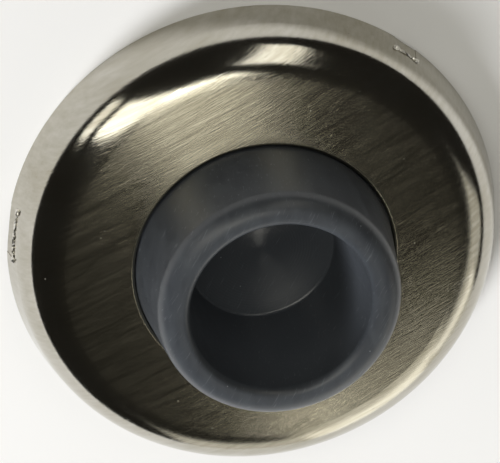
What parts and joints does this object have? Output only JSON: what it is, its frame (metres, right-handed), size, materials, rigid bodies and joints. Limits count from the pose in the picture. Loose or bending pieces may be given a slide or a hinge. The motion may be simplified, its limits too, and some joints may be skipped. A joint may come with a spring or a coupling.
{
  "type": "wall door stop",
  "caption": "Round wall door stop: a domed, brushed metal cover with a deep grey rubber cup in its middle that stops a door at its knob.",
  "frame": {"origin": "centre of the cover's rim, on the wall plane", "axes": "+Z along the stop's axis, out of the wall; +X and +Y in the wall plane"},
  "size_m": [0.0635, 0.0634, 0.0222],
  "materials": {
    "nickel_plated_brass": "antique nickel plate, brushed in one direction",
    "grey_rubber": "moulded, satin",
    "zinc_plated_steel": "bright zinc plate"
  },
  "bodies": {
    "root": {"cover": "nickel_plated_brass", "bumper": "grey_rubber", "back_plate": "zinc_plated_steel"}
  },
  "joints": []
}
